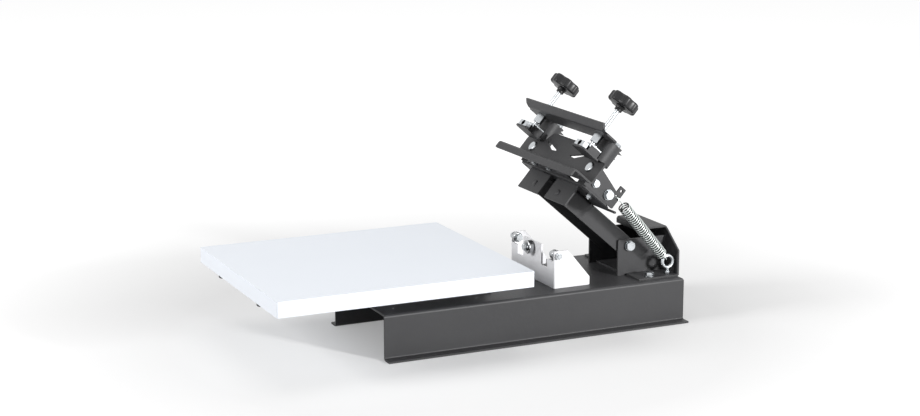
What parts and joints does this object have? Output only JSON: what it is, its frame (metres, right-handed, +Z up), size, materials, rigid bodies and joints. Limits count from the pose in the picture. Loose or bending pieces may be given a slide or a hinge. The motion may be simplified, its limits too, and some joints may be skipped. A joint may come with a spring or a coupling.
{
  "type": "tabletop screen printing press",
  "caption": "Bench-top screen printing press with a white platen, a spring-lifted arm, roller registration gate and a screw-down screen clamp.",
  "frame": {"origin": "on the bench, at the middle of the press's bounding box seen from above", "axes": "+Z up, +Y to the rear where the arm is hinged, -Y to the front of the platen, +X to the operator's right; the arm is raised at rest"},
  "size_m": [0.3556, 0.714, 0.3824],
  "materials": {
    "black_powder_coat": "fine satin powder coat on steel sheet",
    "white_powder_coat": "smooth white powder coat",
    "white_laminate": "smooth white laminate on board",
    "black_rubber": "soft rubber",
    "black_plastic": "moulded black plastic",
    "roller_steel": "turned steel",
    "bronze": "sintered bronze",
    "spring_wire": "bright zinc-plated wire",
    "zinc_plate": "bright zinc plate"
  },
  "bodies": {
    "base": {"base_channel": "black_powder_coat", "platen": "white_laminate", "platen_bracket": "black_powder_coat", "bracket_bolts": "zinc_plate", "platen_bolts": "zinc_plate", "platen_bumpers": "black_rubber", "gate_bracket": "white_powder_coat", "gate_bolts": "zinc_plate", "centre_roller_bolt": "zinc_plate", "side_roller_bolts": "zinc_plate", "pivot_panel_left": "black_powder_coat", "pivot_panel_right": "black_powder_coat", "panel_bolts": "zinc_plate", "rear_cover": "black_powder_coat", "rear_cover_bolts": "zinc_plate", "pivot_axle": "zinc_plate", "pivot_nut": "zinc_plate", "eye_bolt_left": "zinc_plate", "eye_bolt_right": "zinc_plate", "eye_bolt_nuts": "zinc_plate", "spring_left": "spring_wire", "spring_right": "spring_wire"},
    "arm": {"arm_channel": "black_powder_coat", "pivot_bushes": "bronze", "gate_flap_left": "black_powder_coat", "gate_flap_right": "black_powder_coat", "cross_plate": "black_powder_coat", "cradle_riser": "black_powder_coat", "tie_rod": "black_powder_coat", "screen_cradle": "black_powder_coat", "ledge_bolts": "zinc_plate", "wing_left": "black_powder_coat", "wing_right": "black_powder_coat", "wing_lug_left": "black_powder_coat", "wing_lug_right": "black_powder_coat", "wing_bolts": "zinc_plate", "lug_bolts": "zinc_plate", "clamp_post_left": "black_powder_coat", "clamp_post_right": "black_powder_coat", "cradle_bolts": "zinc_plate", "clamp_bar": "black_powder_coat", "bar_bolts": "zinc_plate", "screw_sleeves": "zinc_plate"},
    "centre_roller_body": {"centre_roller": "roller_steel"},
    "side_roller_body_left": {"side_roller_left": "roller_steel"},
    "side_roller_body_right": {"side_roller_right": "roller_steel"},
    "jaw_body_left": {"jaw_left": "black_powder_coat", "jaw_keeper_left": "zinc_plate", "keeper_screws_left": "zinc_plate", "jaw_toe_left": "zinc_plate"},
    "screw_body_left": {"clamp_screw_left": "zinc_plate", "knob_left": "black_plastic"},
    "jaw_body_right": {"jaw_right": "black_powder_coat", "jaw_keeper_right": "zinc_plate", "keeper_screws_right": "zinc_plate", "jaw_toe_right": "zinc_plate"},
    "screw_body_right": {"clamp_screw_right": "zinc_plate", "knob_right": "black_plastic"}
  },
  "joints": [
    {"name": "arm_lift", "type": "hinge", "parent": "base", "child": "arm", "pos_m": [0, 0.2855, 0.1195], "axis": [1, 0, 0], "range_deg": [0, 41.2], "stiffness_Nm_per_rad": 9, "springref_deg": -34.38, "deforming": ["spring_left", "spring_right"]},
    {"name": "centre_roller_spin", "type": "hinge", "parent": "base", "child": "centre_roller_body", "pos_m": [0, 0.13, 0.123], "axis": [0, 1, 0], "continuous": true},
    {"name": "side_roller_spin_left", "type": "hinge", "parent": "base", "child": "side_roller_body_left", "pos_m": [-0.066, 0.1425, 0.1232], "axis": [1, 0, 0], "continuous": true},
    {"name": "side_roller_spin_right", "type": "hinge", "parent": "base", "child": "side_roller_body_right", "pos_m": [0.066, 0.1425, 0.1232], "axis": [1, 0, 0], "continuous": true},
    {"name": "jaw_travel_left", "type": "slide", "parent": "arm", "child": "jaw_body_left", "axis": [0, -0.6587, -0.7524], "range_m": [0, 0.02115]},
    {"name": "screw_turn_left", "type": "hinge", "parent": "jaw_body_left", "child": "screw_body_left", "pos_m": [-0.0955, 0.20766, 0.32055], "axis": [0, -0.6587, -0.7524], "range_deg": [0, 5400]},
    {"name": "jaw_travel_right", "type": "slide", "parent": "arm", "child": "jaw_body_right", "axis": [0, -0.6587, -0.7524], "range_m": [0, 0.02115]},
    {"name": "screw_turn_right", "type": "hinge", "parent": "jaw_body_right", "child": "screw_body_right", "pos_m": [0.0955, 0.20766, 0.32055], "axis": [0, -0.6587, -0.7524], "range_deg": [0, 5400]}
  ],
  "couplings": [
    {"joint": "screw_turn_left", "follows": "jaw_travel_left", "rad_per_m": 4456.2},
    {"joint": "screw_turn_right", "follows": "jaw_travel_right", "rad_per_m": 4456.2}
  ]
}
